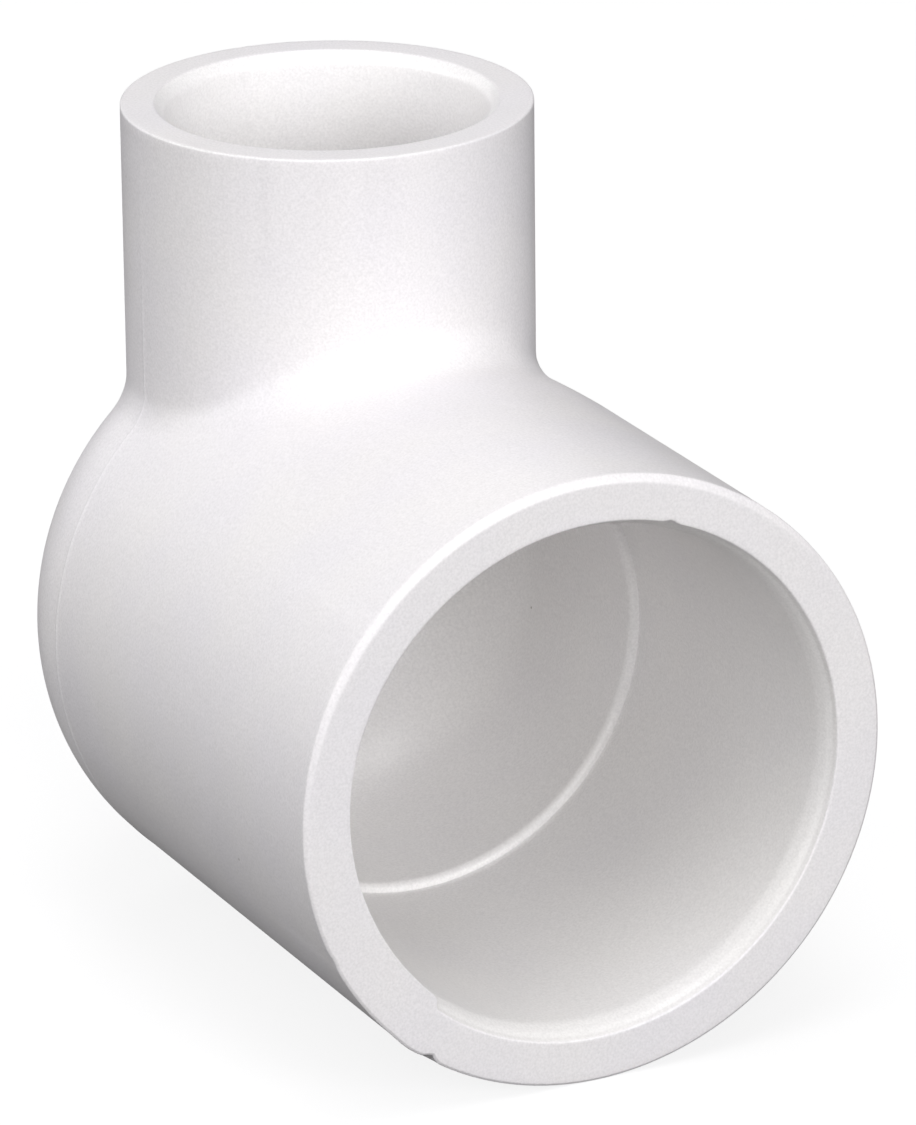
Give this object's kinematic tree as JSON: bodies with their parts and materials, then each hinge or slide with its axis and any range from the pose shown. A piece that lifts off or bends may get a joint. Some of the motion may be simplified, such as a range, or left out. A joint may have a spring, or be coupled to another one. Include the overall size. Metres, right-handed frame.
{
  "type": "reducing pipe elbow",
  "caption": "White PVC 90-degree reducing elbow: a large solvent-weld pipe socket on the run, a smaller socket standing on it at right angles, and a closed domed back.",
  "frame": {"origin": "centre of the large socket's pipe stop, where the end of the larger pipe seats", "axes": "+X out of the large socket along its axis, +Z out of the small socket along its axis, +Y completes a right-handed frame"},
  "size_m": [0.0536, 0.0412, 0.0558],
  "materials": {
    "rigid_pvc": "moulded, satin, very fine grain"
  },
  "bodies": {
    "root": {"large_socket_hub": "rigid_pvc", "run_body": "rigid_pvc", "closed_back": "rigid_pvc", "small_socket_hub": "rigid_pvc"}
  },
  "joints": []
}
